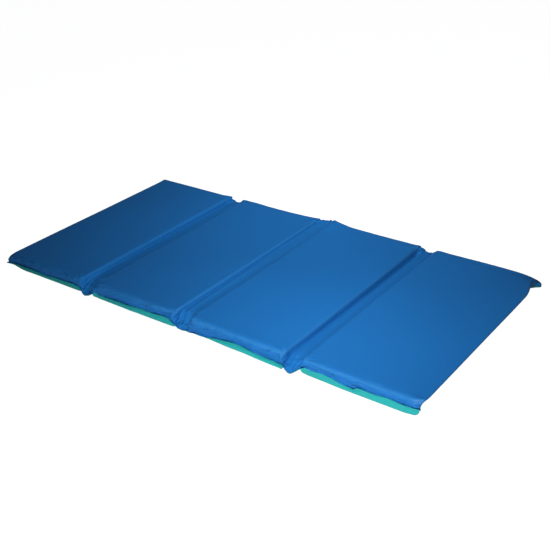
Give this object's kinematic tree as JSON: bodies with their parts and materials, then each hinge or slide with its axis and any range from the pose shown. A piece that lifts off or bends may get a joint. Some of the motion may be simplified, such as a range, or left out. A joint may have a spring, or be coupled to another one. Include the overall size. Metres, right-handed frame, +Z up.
{
  "type": "folding gym mat",
  "caption": "Thin folding exercise mat: foam slabs in a two-colour welded vinyl cover, hinged along flat welded webs so that the panels fold like an accordion.",
  "frame": {"origin": "centre of the open mat's footprint, on the floor", "axes": "+X along the open mat, across its folds; +Y across the mat, along its folds; +Z up out of the blue side"},
  "size_m": [1.2192, 0.6096, 0.0381],
  "materials": {
    "foam": "matte",
    "blue_vinyl": "satin",
    "teal_vinyl": "satin"
  },
  "bodies": {
    "panel_1": {"foam_slab_1": "foam", "top_cover_1": "blue_vinyl", "bottom_cover_1": "teal_vinyl"},
    "panel_2": {"foam_slab_2": "foam", "top_cover_2": "blue_vinyl", "bottom_cover_2": "teal_vinyl"},
    "panel_3": {"foam_slab_3": "foam", "top_cover_3": "blue_vinyl", "bottom_cover_3": "teal_vinyl"},
    "panel_4": {"foam_slab_4": "foam", "top_cover_4": "blue_vinyl", "bottom_cover_4": "teal_vinyl"},
    "web_1": {"fold_web_top_1": "blue_vinyl", "fold_web_bottom_1": "teal_vinyl"},
    "web_2": {"fold_web_top_2": "blue_vinyl", "fold_web_bottom_2": "teal_vinyl"},
    "web_3": {"fold_web_top_3": "blue_vinyl", "fold_web_bottom_3": "teal_vinyl"}
  },
  "joints": [
    {"name": "fold_1_inner", "type": "hinge", "parent": "panel_2", "child": "web_1", "pos_m": [-0.2915, 0, 0.01905], "axis": [0, 1, 0], "range_deg": [0, 90]},
    {"name": "fold_1_outer", "type": "hinge", "parent": "web_1", "child": "panel_1", "pos_m": [-0.3335, 0, 0.01905], "axis": [0, 1, 0], "range_deg": [0, 90]},
    {"name": "fold_2_inner", "type": "hinge", "parent": "panel_2", "child": "web_2", "pos_m": [-0.021, 0, 0.01905], "axis": [0, 1, 0], "range_deg": [0, 90]},
    {"name": "fold_2_outer", "type": "hinge", "parent": "web_2", "child": "panel_3", "pos_m": [0.021, 0, 0.01905], "axis": [0, 1, 0], "range_deg": [0, 90]},
    {"name": "fold_3_inner", "type": "hinge", "parent": "panel_3", "child": "web_3", "pos_m": [0.2915, 0, 0.01905], "axis": [0, -1, 0], "range_deg": [0, 90]},
    {"name": "fold_3_outer", "type": "hinge", "parent": "web_3", "child": "panel_4", "pos_m": [0.3335, 0, 0.01905], "axis": [0, -1, 0], "range_deg": [0, 90]}
  ],
  "couplings": [
    {"joint": "fold_1_outer", "follows": "fold_1_inner", "ratio": 1},
    {"joint": "fold_2_outer", "follows": "fold_2_inner", "ratio": 1},
    {"joint": "fold_3_outer", "follows": "fold_3_inner", "ratio": 1}
  ]
}
